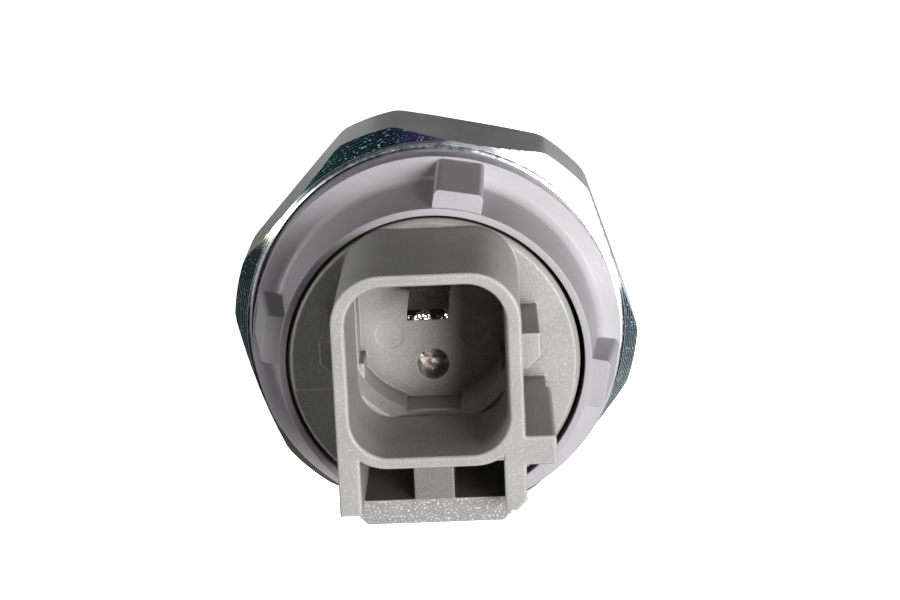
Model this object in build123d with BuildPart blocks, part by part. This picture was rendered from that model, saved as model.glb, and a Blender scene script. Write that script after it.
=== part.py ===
from build123d import *
import os

# Oil pressure sender: a steel hexagon with a threaded stud and a cup, a diaphragm switch in the
# cup, and a moulded one-pin connector that a white ring stands around.
# Z is the sender's axis. The hexagon seats at Z = 0, the stud points down, the connector up.
# The connector is symmetric about the YZ plane but for its guide rib, with its latch frame on -Y.

# Threaded stud
THREAD_D = 10.0
THREAD_LENGTH = 9.5
RELIEF_DEPTH = 0.65
RELIEF_LENGTH = 1.8
TIP_CHAMFER = 0.8
PORT_D = 3.2
PORT_DEPTH = 7.5
ORIFICE_D = 1.2

# Sealing washer, which slips over the thread
WASHER_T = 1.5
WASHER_W = 2.65
WASHER_PLAY = 0.1
WASHER_EDGE = 0.2

# Hexagon
HEX_AF = 24.0
CORNER_PROUD = 1.8
HEX_H = 8.6
HEX_TURN = -12.2
FRONT_CHAMFER_IN = 1.05
FRONT_CHAMFER_DOWN = 1.7
BACK_CHAMFER_IN = 0.7
BACK_CHAMFER_UP = 0.4

# Cup in the hexagon, with a rolled lip over the moulding's base
CUP_WALL = 1.8
CUP_DEPTH = 5.4
LIP_T = 0.7
LIP_CLEAR = 0.35
CHAMBER_DEPTH = 1.0
SEAL_GROOVE_IN = 0.9
SEAL_GROOVE_W = 1.7
SEAL_GROOVE_DEPTH = 1.1
SEAL_EDGE = 0.3

# Parts clamped on the cup's floor
STACK_CLEAR = 0.3
FILM_T = 0.2
DIAPHRAGM_T = 0.4
PLATE_T = 0.8
PLATE_RIM_W = 2.9

# Moving parts: how far they go, and their clearances
TRAVEL = 0.45
STOP_GAP = 0.1
PISTON_T = 0.85
PISTON_CLEAR = 0.6
STEM_D = 4.4
STEM_CLEAR = 0.4
STEM_GAP = 0.05
CONTACT_CLEAR = 0.6
CONTACT_T = 0.5
CONTACT_EDGE = 0.2

# Spring, and the bosses that centre it
WIRE_D = 0.36
WIRE_SIDES = 8
SPRING_TURNS = 5
SPRING_PLAY = 0.17
BOSS_PLAY = 0.37
BOSS_H = 0.7

# Adjusting screw, its bush and the terminal
SCREW_D = 4.8
SCREW_L = 3.1
SLOT_W = 0.6
SLOT_DEPTH = 0.7
BUSH_WALL = 1.2
BUSH_FLANGE_W = 0.8
BUSH_FLANGE_T = 0.6
BUSH_BELOW_SCREW = 0.6
FIT = 0.03
BLADE_W = 2.3
BLADE_T = 0.64
BLADE_Y = 4.8
BLADE_BACK = 4.25
BLADE_BEVEL = 0.18
BLADE_BEVEL_RUN = 0.5
EYELET_W = 1.0
EYELET_CLEAR = 0.2

# Moulded connector: base and neck
BASE_STEP = 1.1
BASE_RECESS_CLEAR = 0.3
GROOVE_W = 1.6
GROOVE_DEPTH = 1.0
GROOVE_UP = 0.8
SEAL_CLEAR = 0.05
FLANGE_H = 7.8
FLANGE_EDGE = 0.3
FLANGE_STEP = 0.08
FLANGE_STEP_Y = -1.45

# Moulded connector: shroud and socket
SHROUD_L = 11.85
SHROUD_W = 10.44
SHROUD_H = 10.98
SHROUD_BOTTOM = -2.71
SHROUD_R = 2.85
WALL_SIDE = 0.78
WALL_TOP = 0.63
WALL_BOTTOM = 0.61
LEAD_IN = 0.14
LEAD_IN_DEPTH = 2.4
FLOOR_UP = 0.35
FLOOR_T = 2.25
MOUTH_EDGE = 0.1
DRIVER_HOLE_D = 1.9
EJECTOR_D = 1.7
EJECTOR_X = 2.53
EJECTOR_Y = 1.9
EJECTOR_DEPTH = 0.05

# Crescent ledges in the socket's lower corners, parted by a keyway, and their ends on the side walls
WELL_D = 9.7
WELL_W = 7.96
LEDGE_END_Y = 0.95
LEDGE_INNER_H = 2.75
LEDGE_OUTER_H = 4.15
LEDGE_SLOPE_IN = 0.45
KEYWAY_W = 3.3

# Latch frame: two legs, a bridge and a web
LEG_T = 1.24
LEG_DROP = 2.69
LEG_CHAMFER = 0.6
BRIDGE_T = 1.42
BRIDGE_INSET = 0.92
BRIDGE_BACK = 2.6
BRIDGE_L = 6.4
BRIDGE_CHAMFER = 0.45
WEB_W = 2.26

# Guide rib and side bumps
RIB_W = 1.64
RIB_DROP = 0.03
RIB_PROUD = 1.71
RIB_FOOT_PROUD = 1.43
RIB_FOOT_H = 2.3
RIB_ROUND = 0.25
BUMP_W = 2.05
BUMP_UP = 4.06
BUMP_PROUD = 1.06
BUMP_SLOPE = 0.72
BUMP_H = 6.9

# White retaining ring, which leans to one side of its play
RING_TURN = -10.2
RING_LEAN_X = 0.09
RING_LEAN_Y = -0.04
RING_INSET = 0.35
RING_CLEAR = 0.2
RING_EDGE_H = 2.05
RING_BAND_H = 2.27
RING_BELOW_FLANGE = 0.1
COLLAR_FOOT_T = 1.0
COLLAR_TIP_T = 0.42
COLLAR_FOOT_R = 0.7
TAB_W = 2.95
TAB_PROUD = 1.03
TAB_EDGE = 0.15
TAB_ROUND = 0.35
TAB_COUNT = 3
TAB_STEP = 90

# Radii that follow from the sizes above, from the hexagon inwards
corner_r = (HEX_AF + CORNER_PROUD) / 2
face_r = corner_r - FRONT_CHAMFER_IN
relief_r = THREAD_D / 2 - RELIEF_DEPTH
cup_r = HEX_AF / 2 - CUP_WALL
stack_r = cup_r - STACK_CLEAR
neck_r = stack_r - BASE_STEP
plate_step_r = stack_r - PLATE_RIM_W
chamber_r = plate_step_r - PLATE_T
seal_groove_r = chamber_r + SEAL_GROOVE_IN
hole_r = STEM_D / 2 + STEM_CLEAR
bush_r = SCREW_D / 2 + BUSH_WALL
eyelet_r = bush_r + EYELET_W
pocket_r = eyelet_r + EYELET_CLEAR
spring_r = SCREW_D / 2 - SPRING_PLAY - WIRE_D / 2
boss_r = spring_r - WIRE_D / 2 - BOSS_PLAY
ring_r = face_r - RING_INSET
ring_bore_r = neck_r + RING_CLEAR

# Heights that follow, from the stud's tip up
stud_end = -WASHER_T - THREAD_LENGTH
cup_z = HEX_H - CUP_DEPTH
diaphragm_z = cup_z + FILM_T
plate_z = diaphragm_z + DIAPHRAGM_T
base_z = plate_z + PLATE_T
land_z = plate_z + PISTON_T + TRAVEL + STOP_GAP
contact_z = land_z + PLATE_T
spring_z = contact_z + CONTACT_T
lip_z = HEX_H - LIP_T
flange_z = HEX_H + FLANGE_H
root_z = flange_z - FLANGE_STEP
floor_z = flange_z + FLOOR_UP
mouth_z = flange_z + SHROUD_L
bush_top = floor_z - FLOOR_T
screw_z = bush_top - SCREW_L
bush_z = screw_z - BUSH_BELOW_SCREW
eyelet_z = bush_z + BUSH_FLANGE_T
pocket_top = eyelet_z + BLADE_T
blade_end = mouth_z - BLADE_BACK
blade_top_y = BLADE_Y + BLADE_T / 2

# Turned steel body
with BuildPart() as hex_body:
    with BuildSketch(Plane.XY):
        RegularPolygon(HEX_AF / 2, 6, major_radius=False, rotation=HEX_TURN)
    extrude(amount=HEX_H)
    # The corners are turned, with a chamfer at each end
    with BuildSketch(Plane.XZ):
        with BuildLine():
            Polyline(
                (0, 0),
                (corner_r - BACK_CHAMFER_IN, 0),
                (corner_r, BACK_CHAMFER_UP),
                (corner_r, HEX_H - FRONT_CHAMFER_DOWN),
                (face_r, HEX_H),
                (0, HEX_H),
                close=True,
            )
        make_face()
    revolve(axis=Axis.Z, mode=Mode.INTERSECT)
    # Stud with a relief under the hexagon
    with BuildSketch(Plane.XZ):
        with BuildLine():
            Polyline(
                (0, 0),
                (relief_r, 0),
                (relief_r, -RELIEF_LENGTH),
                (THREAD_D / 2, -RELIEF_LENGTH - RELIEF_DEPTH),
                (THREAD_D / 2, stud_end + TIP_CHAMFER),
                (THREAD_D / 2 - TIP_CHAMFER, stud_end),
                (0, stud_end),
                close=True,
            )
        make_face()
    revolve(axis=Axis.Z)
    # Cup under the rolled lip, with the seal's groove and the pressure chamber in its floor
    with BuildSketch(Plane.XZ):
        with BuildLine():
            Polyline(
                (0, HEX_H),
                (neck_r + LIP_CLEAR, HEX_H),
                (neck_r + LIP_CLEAR, lip_z),
                (cup_r, lip_z),
                (cup_r, cup_z),
                (seal_groove_r + SEAL_GROOVE_W, cup_z),
                (seal_groove_r + SEAL_GROOVE_W, cup_z - SEAL_GROOVE_DEPTH),
                (seal_groove_r, cup_z - SEAL_GROOVE_DEPTH),
                (seal_groove_r, cup_z),
                (chamber_r, cup_z),
                (chamber_r, cup_z - CHAMBER_DEPTH),
                (0, cup_z - CHAMBER_DEPTH),
                close=True,
            )
        make_face()
    revolve(axis=Axis.Z, mode=Mode.SUBTRACT)
    # Oil port from the tip, and the orifice into the chamber
    with BuildSketch(Plane.XY.offset(stud_end)):
        Circle(PORT_D / 2)
    extrude(amount=PORT_DEPTH, mode=Mode.SUBTRACT)
    with BuildSketch(Plane.XY.offset(stud_end)):
        Circle(ORIFICE_D / 2)
    extrude(amount=cup_z - stud_end, mode=Mode.SUBTRACT)

# Crush washer around the relief, against the hexagon
with BuildPart() as sealing_washer:
    with BuildSketch(Plane.XY.offset(-WASHER_T)):
        Circle(THREAD_D / 2 + WASHER_PLAY + WASHER_W)
        Circle(THREAD_D / 2 + WASHER_PLAY, mode=Mode.SUBTRACT)
    extrude(amount=WASHER_T)
    outer_edges = sealing_washer.edges().filter_by(GeomType.CIRCLE).group_by(SortBy.RADIUS)[-1]
    chamfer(outer_edges, WASHER_EDGE)

# Ring squeezed in the floor's groove
with BuildPart() as diaphragm_seal:
    with BuildSketch(Plane.XZ) as section:
        with Locations((seal_groove_r + SEAL_GROOVE_W / 2, cup_z - SEAL_GROOVE_DEPTH / 2)):
            Rectangle(SEAL_GROOVE_W - 2 * SEAL_CLEAR, SEAL_GROOVE_DEPTH)
        chamfer(section.vertices(), SEAL_EDGE)
    revolve(axis=Axis.Z)

# Film and diaphragm that close the pressure chamber
with BuildPart() as barrier_film:
    with BuildSketch(Plane.XY.offset(cup_z)):
        Circle(stack_r)
    extrude(amount=FILM_T)

with BuildPart() as diaphragm:
    with BuildSketch(Plane.XY.offset(diaphragm_z)):
        Circle(stack_r)
    extrude(amount=DIAPHRAGM_T)

# Earthed contact plate, a stamping with a raised land
with BuildPart() as contact_plate:
    with BuildSketch(Plane.XZ):
        with BuildLine():
            Polyline(
                (chamber_r, plate_z),
                (stack_r, plate_z),
                (stack_r, base_z),
                (plate_step_r, base_z),
                (plate_step_r, contact_z),
                (hole_r, contact_z),
                (hole_r, land_z),
                (chamber_r, land_z),
                close=True,
            )
        make_face()
    revolve(axis=Axis.Z)

# Pusher between the diaphragm and the moving contact
with BuildPart() as piston:
    with BuildSketch(Plane.XY.offset(plate_z)):
        Circle(chamber_r - PISTON_CLEAR)
    extrude(amount=PISTON_T)
    with BuildSketch(Plane.XY.offset(plate_z)):
        Circle(STEM_D / 2)
    extrude(amount=contact_z - STEM_GAP - plate_z)

# Moving contact, resting on the plate's land
with BuildPart() as moving_contact:
    with BuildSketch(Plane.XY.offset(contact_z)):
        Circle(pocket_r - CONTACT_CLEAR)
    extrude(amount=CONTACT_T)
    with BuildSketch(Plane.XY.offset(spring_z)):
        Circle(boss_r)
    extrude(amount=BOSS_H)
    chamfer(moving_contact.faces().sort_by(Axis.Z)[-1].edges(), CONTACT_EDGE)

# Compression spring with ground ends
with BuildPart() as contact_spring:
    with BuildLine():
        spring_l = screw_z - spring_z
        coil = Helix(spring_l / SPRING_TURNS, spring_l, spring_r, center=(0, 0, spring_z))
    with BuildSketch(Plane(origin=coil @ 0, z_dir=coil % 0)):
        RegularPolygon(WIRE_D / 2, WIRE_SIDES)
    sweep(is_frenet=True)
    split(bisect_by=Plane.XY.offset(spring_z), keep=Keep.TOP)
    split(bisect_by=Plane.XY.offset(screw_z), keep=Keep.BOTTOM)

# Adjusting screw in its threaded bush
with BuildPart() as adjusting_screw:
    with BuildSketch(Plane.XY.offset(screw_z)):
        Circle(SCREW_D / 2 - FIT)
    extrude(amount=SCREW_L)
    with BuildSketch(Plane.XY.offset(bush_top)):
        Rectangle(SCREW_D, SLOT_W)
    extrude(amount=-SLOT_DEPTH, mode=Mode.SUBTRACT)
    with BuildSketch(Plane.XY.offset(screw_z)):
        Circle(boss_r)
    extrude(amount=-BOSS_H)

with BuildPart() as threaded_bush:
    with BuildSketch(Plane.XY.offset(bush_z)):
        Circle(bush_r + BUSH_FLANGE_W)
    extrude(amount=BUSH_FLANGE_T)
    with BuildSketch(Plane.XY.offset(eyelet_z)):
        Circle(bush_r - FIT)
    extrude(amount=bush_top - eyelet_z)
    with BuildSketch(Plane.XY.offset(bush_z)):
        Circle(SCREW_D / 2)
    extrude(amount=bush_top - bush_z, mode=Mode.SUBTRACT)

# Terminal: an eyelet around the bush, bent up into the blade
with BuildPart() as terminal_blade:
    with BuildSketch(Plane.XY.offset(eyelet_z)):
        Circle(eyelet_r)
        Rectangle(BLADE_W, blade_top_y, align=(Align.CENTER, Align.MIN))
        Circle(bush_r, mode=Mode.SUBTRACT)
    extrude(amount=BLADE_T)
    with BuildSketch(Plane.XY.offset(eyelet_z)):
        with Locations((0, BLADE_Y)):
            Rectangle(BLADE_W, BLADE_T)
    extrude(amount=blade_end - eyelet_z)
    tip = terminal_blade.faces().sort_by(Axis.Z)[-1]
    chamfer(tip.edges().filter_by(Axis.X), BLADE_BEVEL, BLADE_BEVEL_RUN, reference=tip)

# Moulded connector
shroud_centre = SHROUD_BOTTOM + SHROUD_H / 2
socket_w = SHROUD_W - 2 * WALL_SIDE
socket_h = SHROUD_H - WALL_TOP - WALL_BOTTOM
socket_centre = SHROUD_BOTTOM + WALL_BOTTOM + socket_h / 2
socket_r = SHROUD_R - WALL_TOP
deep_w = socket_w - 2 * LEAD_IN
deep_h = socket_h - 2 * LEAD_IN
deep_r = socket_r - LEAD_IN
deep_z = mouth_z - LEAD_IN_DEPTH
leg_x = SHROUD_W / 2 - LEG_T
leg_y = SHROUD_BOTTOM - LEG_DROP
rib_y = SHROUD_BOTTOM - RIB_DROP
bridge_z = mouth_z - BRIDGE_BACK
groove_z = base_z + GROOVE_UP
groove_r = stack_r - GROOVE_DEPTH
with BuildSketch() as socket_well:
    with Locations((0, socket_centre)):
        Circle(WELL_D / 2)
        Rectangle(WELL_W, WELL_D, mode=Mode.INTERSECT)
with BuildPart() as connector_housing:
    # Base with its seal groove, and the neck
    with BuildSketch(Plane.XZ):
        with BuildLine():
            Polyline(
                (0, base_z),
                (stack_r, base_z),
                (stack_r, groove_z),
                (groove_r, groove_z),
                (groove_r, groove_z + GROOVE_W),
                (stack_r, groove_z + GROOVE_W),
                (stack_r, lip_z),
                (neck_r, lip_z),
                (neck_r, flange_z),
                (0, flange_z),
                close=True,
            )
        make_face()
    revolve(axis=Axis.Z)
    rim = connector_housing.edges().filter_by(GeomType.CIRCLE).sort_by(Axis.Z)[-1]
    chamfer(rim, FLANGE_EDGE)
    # The flange is a little lower past the mould's parting
    with BuildSketch(Plane.XY.offset(flange_z)):
        with Locations((0, FLANGE_STEP_Y)):
            Rectangle(2 * neck_r, 2 * neck_r, align=(Align.CENTER, Align.MAX))
    extrude(amount=-FLANGE_STEP, mode=Mode.SUBTRACT)
    # Shroud
    with BuildSketch(Plane.XY.offset(root_z)):
        with Locations((0, shroud_centre)):
            RectangleRounded(SHROUD_W, SHROUD_H, SHROUD_R)
    extrude(amount=mouth_z - root_z)
    # Latch legs, flush with the shroud's sides, one with a cut corner
    with BuildSketch(Plane.XY.offset(root_z)):
        with Locations((-leg_x, leg_y)):
            Rectangle(LEG_T, shroud_centre - leg_y, align=(Align.MAX, Align.MIN))
        with Locations((leg_x, leg_y)):
            Rectangle(LEG_T, shroud_centre - leg_y, align=(Align.MIN, Align.MIN))
    extrude(amount=mouth_z - root_z)
    cut_corner = connector_housing.edges().filter_by(Axis.Z).group_by(Axis.Y)[0].sort_by(Axis.X)[-1]
    chamfer(cut_corner, LEG_CHAMFER)
    # Bridge under the legs, set back from the mouth
    with BuildSketch(Plane.XY.offset(bridge_z)):
        with Locations((0, leg_y)):
            Rectangle(SHROUD_W - 2 * BRIDGE_INSET, BRIDGE_T, align=(Align.CENTER, Align.MAX))
    extrude(amount=-BRIDGE_L)
    bridge_corners = connector_housing.edges().filter_by(Axis.Z).group_by(Axis.Y)[0]
    chamfer(bridge_corners, BRIDGE_CHAMFER)
    # Web between the shroud and the bridge
    with BuildSketch(Plane.XY.offset(root_z)):
        with Locations((0, leg_y)):
            Rectangle(WEB_W, shroud_centre - leg_y, align=(Align.CENTER, Align.MIN))
    extrude(amount=bridge_z - root_z)
    # Guide rib on one side, with a narrower foot on the flange
    with BuildSketch(Plane.XY.offset(root_z)):
        with Locations((leg_x, rib_y)):
            Rectangle(LEG_T + RIB_FOOT_PROUD, RIB_W, align=(Align.MIN, Align.MIN))
    extrude(amount=mouth_z - root_z)
    with BuildSketch(Plane.XY.offset(flange_z + RIB_FOOT_H)) as rib:
        with Locations((leg_x, rib_y)):
            Rectangle(LEG_T + RIB_PROUD, RIB_W, align=(Align.MIN, Align.MIN))
        fillet(rib.vertices().group_by(Axis.X)[-1].sort_by(Axis.Y)[-1], RIB_ROUND)
    extrude(amount=mouth_z - flange_z - RIB_FOOT_H)
    # Side bumps
    bump_x = SHROUD_W / 2 + BUMP_PROUD
    bump_y = SHROUD_BOTTOM + BUMP_UP
    with BuildSketch(Plane.XY.offset(root_z)):
        for side in (-1, 1):
            with BuildLine():
                Polyline(
                    (0, bump_y + BUMP_W),
                    (side * bump_x, bump_y + BUMP_W),
                    (side * bump_x, bump_y + BUMP_SLOPE),
                    (side * (bump_x - BUMP_SLOPE), bump_y),
                    (0, bump_y),
                    close=True,
                )
            make_face()
    extrude(amount=BUMP_H)
    # Socket, with a lead-in that narrows to the deep part
    with BuildSketch(Plane.XY.offset(mouth_z)):
        with Locations((0, socket_centre)):
            RectangleRounded(socket_w, socket_h, socket_r)
    with BuildSketch(Plane.XY.offset(deep_z)):
        with Locations((0, socket_centre)):
            RectangleRounded(deep_w, deep_h, deep_r)
    loft(mode=Mode.SUBTRACT)
    with BuildSketch(Plane.XY.offset(deep_z)):
        with Locations((0, socket_centre)):
            RectangleRounded(deep_w, deep_h, deep_r)
    extrude(amount=floor_z - deep_z, mode=Mode.SUBTRACT)
    # Crescent ledges left in the lower corners around a well with flattened sides
    with BuildSketch(Plane.XY.offset(floor_z)):
        with Locations((0, socket_centre)):
            RectangleRounded(deep_w, deep_h, deep_r)
            Rectangle(KEYWAY_W, socket_h, mode=Mode.SUBTRACT)
        with Locations((0, LEDGE_END_Y)):
            Rectangle(socket_w, socket_h, align=(Align.CENTER, Align.MIN), mode=Mode.SUBTRACT)
        add(socket_well.sketch, mode=Mode.SUBTRACT)
    extrude(amount=LEDGE_OUTER_H)
    with BuildSketch(Plane.XZ.offset(-socket_centre)):
        with BuildLine():
            Polyline(
                (0, floor_z + LEDGE_INNER_H),
                (WELL_D / 2, floor_z + LEDGE_INNER_H),
                (WELL_D / 2 + LEDGE_SLOPE_IN, floor_z + LEDGE_OUTER_H),
                (0, floor_z + LEDGE_OUTER_H),
                close=True,
            )
        make_face()
    revolve(axis=Axis((0, socket_centre, 0), (0, 0, 1)), mode=Mode.SUBTRACT)
    # Marks of the ejector pins in the floor
    with BuildSketch(Plane.XY.offset(floor_z)):
        with Locations((-EJECTOR_X, EJECTOR_Y), (EJECTOR_X, EJECTOR_Y)):
            Circle(EJECTOR_D / 2)
    extrude(amount=-EJECTOR_DEPTH, mode=Mode.SUBTRACT)
    # Underside: room for the plate's land, the contacts' pocket with the terminal's way in,
    # and the bush's seat
    with BuildSketch(Plane.XY.offset(base_z)):
        Circle(plate_step_r + BASE_RECESS_CLEAR)
    extrude(amount=contact_z + BASE_RECESS_CLEAR - base_z, mode=Mode.SUBTRACT)
    with BuildSketch(Plane.XY.offset(base_z)):
        Circle(pocket_r)
        Rectangle(BLADE_W + 2 * FIT, blade_top_y + FIT, align=(Align.CENTER, Align.MIN))
    extrude(amount=pocket_top - base_z, mode=Mode.SUBTRACT)
    with BuildSketch(Plane.XY.offset(base_z)):
        Circle(bush_r)
    extrude(amount=bush_top - base_z, mode=Mode.SUBTRACT)
    # Hole for the driver, and the slot that the blade stands in
    with BuildSketch(Plane.XY.offset(base_z)):
        Circle(DRIVER_HOLE_D / 2)
        with Locations((0, BLADE_Y)):
            Rectangle(BLADE_W + 2 * FIT, BLADE_T + 2 * FIT)
    extrude(amount=floor_z - base_z, mode=Mode.SUBTRACT)
    # Softened edges at the mouth
    mouth = connector_housing.faces().filter_by(Plane.XY).sort_by(Axis.Z)[-1]
    chamfer(mouth.edges(), MOUTH_EDGE)

# Seal around the moulding's base
with BuildPart() as housing_seal:
    with BuildSketch(Plane.XZ) as section:
        with Locations(((groove_r + cup_r) / 2, groove_z + GROOVE_W / 2)):
            Rectangle(cup_r - groove_r, GROOVE_W - 2 * SEAL_CLEAR)
        chamfer(section.vertices(), SEAL_EDGE)
    revolve(axis=Axis.Z)

# Wedge tab of the ring, drawn on the side of +X
ring_edge_z = HEX_H + RING_EDGE_H
ring_tip_z = flange_z - RING_BELOW_FLANGE
tab_root_r = ring_bore_r + COLLAR_TIP_T / 2
tab_tip_r = ring_bore_r + COLLAR_TIP_T + TAB_PROUD
with BuildPart() as ring_tab:
    with BuildSketch(Plane.XZ):
        with BuildLine():
            Polyline(
                (tab_root_r, ring_edge_z - TAB_EDGE),
                (ring_r - TAB_EDGE, ring_edge_z - TAB_EDGE),
                (tab_tip_r, ring_tip_z - TAB_EDGE),
                (tab_root_r, ring_tip_z - TAB_EDGE),
                close=True,
            )
        make_face()
    extrude(amount=TAB_W / 2, both=True)
    slope = ring_tab.faces().sort_by(Axis.X)[-1]
    slope_sides = slope.edges().group_by(Axis.Y)
    fillet(slope_sides[0] + slope_sides[-1], TAB_ROUND)

# White ring: a band on the hexagon's face, a conical collar and three tabs
with BuildPart() as retaining_ring:
    with BuildSketch(Plane.XZ) as section:
        with BuildLine():
            Polyline(
                (ring_bore_r, HEX_H),
                (ring_r, HEX_H),
                (ring_r, ring_edge_z),
                (ring_bore_r + COLLAR_FOOT_T, HEX_H + RING_BAND_H),
                (ring_bore_r + COLLAR_TIP_T, ring_tip_z),
                (ring_bore_r, ring_tip_z),
                close=True,
            )
        make_face()
        collar_foot = section.vertices().group_by(Axis.X)[-2]
        fillet(collar_foot, COLLAR_FOOT_R)
    revolve(axis=Axis.Z)
    for step in range(TAB_COUNT):
        add(ring_tab.part, rotation=(0, 0, RING_TURN + step * TAB_STEP))
retaining_ring.part.position = (RING_LEAN_X, RING_LEAN_Y, 0)

os.makedirs("parts", exist_ok=True)
hex_body.part.label = "hex_body"
export_step(hex_body.part, "parts/hex_body.step")
sealing_washer.part.label = "sealing_washer"
export_step(sealing_washer.part, "parts/sealing_washer.step")
diaphragm_seal.part.label = "diaphragm_seal"
export_step(diaphragm_seal.part, "parts/diaphragm_seal.step")
barrier_film.part.label = "barrier_film"
export_step(barrier_film.part, "parts/barrier_film.step")
diaphragm.part.label = "diaphragm"
export_step(diaphragm.part, "parts/diaphragm.step")
contact_plate.part.label = "contact_plate"
export_step(contact_plate.part, "parts/contact_plate.step")
piston.part.label = "piston"
export_step(piston.part, "parts/piston.step")
moving_contact.part.label = "moving_contact"
export_step(moving_contact.part, "parts/moving_contact.step")
contact_spring.part.label = "contact_spring"
export_step(contact_spring.part, "parts/contact_spring.step")
adjusting_screw.part.label = "adjusting_screw"
export_step(adjusting_screw.part, "parts/adjusting_screw.step")
threaded_bush.part.label = "threaded_bush"
export_step(threaded_bush.part, "parts/threaded_bush.step")
terminal_blade.part.label = "terminal_blade"
export_step(terminal_blade.part, "parts/terminal_blade.step")
connector_housing.part.label = "connector_housing"
export_step(connector_housing.part, "parts/connector_housing.step")
housing_seal.part.label = "housing_seal"
export_step(housing_seal.part, "parts/housing_seal.step")
retaining_ring.part.label = "retaining_ring"
export_step(retaining_ring.part, "parts/retaining_ring.step")
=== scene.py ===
# %% [markdown]
# # Dressing an oil pressure sender
#
# A solid model gives every piece of this sender its true size and place. This lesson adds what the
# solid model leaves out: turning marks on the steel, the thread, softened moulded edges, and the
# finish of each surface. Each step says what the real piece looks like, how it could be made, and
# why this way was chosen.

import math

import bmesh
import bpy
from mathutils import Matrix, Vector


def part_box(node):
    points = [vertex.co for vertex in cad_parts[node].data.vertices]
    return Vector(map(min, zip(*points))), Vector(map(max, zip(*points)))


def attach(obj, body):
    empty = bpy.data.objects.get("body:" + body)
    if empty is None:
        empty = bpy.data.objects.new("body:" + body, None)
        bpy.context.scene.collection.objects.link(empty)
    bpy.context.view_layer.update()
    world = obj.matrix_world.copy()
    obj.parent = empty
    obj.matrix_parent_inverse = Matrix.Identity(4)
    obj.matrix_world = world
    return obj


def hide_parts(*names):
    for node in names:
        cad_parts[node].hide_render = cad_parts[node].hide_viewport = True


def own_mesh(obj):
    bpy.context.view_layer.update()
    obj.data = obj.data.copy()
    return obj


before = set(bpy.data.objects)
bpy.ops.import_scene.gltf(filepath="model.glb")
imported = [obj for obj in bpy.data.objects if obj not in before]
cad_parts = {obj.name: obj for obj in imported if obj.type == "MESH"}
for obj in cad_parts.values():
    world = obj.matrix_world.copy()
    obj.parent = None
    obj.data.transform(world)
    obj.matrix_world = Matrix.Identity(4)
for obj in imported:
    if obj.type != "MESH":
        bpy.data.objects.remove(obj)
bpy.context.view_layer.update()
MM = 0.001
print("nodes:", ", ".join(sorted(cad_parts)))

# %% [markdown]
# ## The camera
#
# A photograph is matched by solving for the camera, not by eye. Here the camera looks down the
# sender's axis from a little above it. Its tilt, turn and roll, its distance and its focal length
# in pixels were found from edges of known size. The point where the axis meets the seating face
# falls beside the picture's middle, so the camera is slid sideways by that much.

# %% Stand the camera
VIEW_TILT = math.radians(14.31)
VIEW_TURN = math.radians(85.18)
VIEW_ROLL = math.radians(-2.51)
VIEW_DISTANCE = 150.57 * MM
NEAREST = 1 * MM
FOCAL_PIXELS = 2244.93
IMAGE_W, IMAGE_H = 900, 600
ORIGIN_PIXEL = (438.05, 295.19)
SENSOR_W = 36.0

towards = Vector((
    math.sin(VIEW_TILT) * math.cos(VIEW_TURN),
    math.sin(VIEW_TILT) * math.sin(VIEW_TURN),
    math.cos(VIEW_TILT),
))
level_up = (Vector((0, 1, 0)) - towards * towards.y).normalized()
level_right = level_up.cross(towards)
cam_right = math.cos(VIEW_ROLL) * level_right + math.sin(VIEW_ROLL) * level_up
cam_up = -math.sin(VIEW_ROLL) * level_right + math.cos(VIEW_ROLL) * level_up
pixel = VIEW_DISTANCE / FOCAL_PIXELS
slide_right = (IMAGE_W / 2 - ORIGIN_PIXEL[0]) * pixel
slide_up = (ORIGIN_PIXEL[1] - IMAGE_H / 2) * pixel
slide = slide_right * cam_right + slide_up * cam_up

camera_data = bpy.data.cameras.new("camera")
camera_data.sensor_width = SENSOR_W
camera_data.lens = SENSOR_W * FOCAL_PIXELS / IMAGE_W
camera_data.clip_start = NEAREST
camera = bpy.data.objects.new("camera", camera_data)
turned = Matrix((cam_right, cam_up, towards)).transposed()
camera.matrix_world = Matrix.Translation(towards * VIEW_DISTANCE + slide) @ turned.to_4x4()
bpy.context.scene.collection.objects.link(camera)
bpy.context.scene.camera = camera
print("lens", round(camera_data.lens, 2), "mm")
print("one pixel is", round(pixel / MM, 4), "mm at the seating face")

# %% [markdown]
# ## The studio
#
# The sender stands on the tip of its stud on a pale light table, because the photograph has a plain
# white ground. The table glows for the camera alone, so it adds no light of its own. The key light
# is one large softbox. Its direction comes from the shade in the socket: the right wall's shadow
# begins ten degrees off the axis and is complete at about thirty-five, so the box is centred
# between the two and as wide as that. The rest of the room is nearly dark. A low lamp on the left
# lights only what faces it, and another fills the latch side, which the photograph doesn't show.

# %% View, floor and world
EXPOSURE, GAMMA = 0.12, 0.9
FLOOR_HALF = 1.2
FLOOR_COLOUR = (0.9, 0.9, 0.9)
FLOOR_ROUGH = 0.9
FLOOR_GLOW = 0.9
ROOM_COLOUR = (0.97, 1.0, 0.93)
ROOM_LIGHT = 0.012

view = bpy.context.scene.view_settings
view.view_transform = "Standard"
view.exposure = EXPOSURE
view.gamma = GAMMA
stud_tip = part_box("hex_body")[0].z

floor_mesh = bpy.data.meshes.new("floor")
floor_bm = bmesh.new()
bmesh.ops.create_grid(floor_bm, x_segments=1, y_segments=1, size=FLOOR_HALF)
bmesh.ops.translate(floor_bm, verts=floor_bm.verts, vec=(0, 0, stud_tip))
floor_bm.to_mesh(floor_mesh)
floor_bm.free()
floor = bpy.data.objects.new("floor", floor_mesh)
bpy.context.scene.collection.objects.link(floor)
floor.visible_diffuse = False
floor.visible_glossy = False

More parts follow.
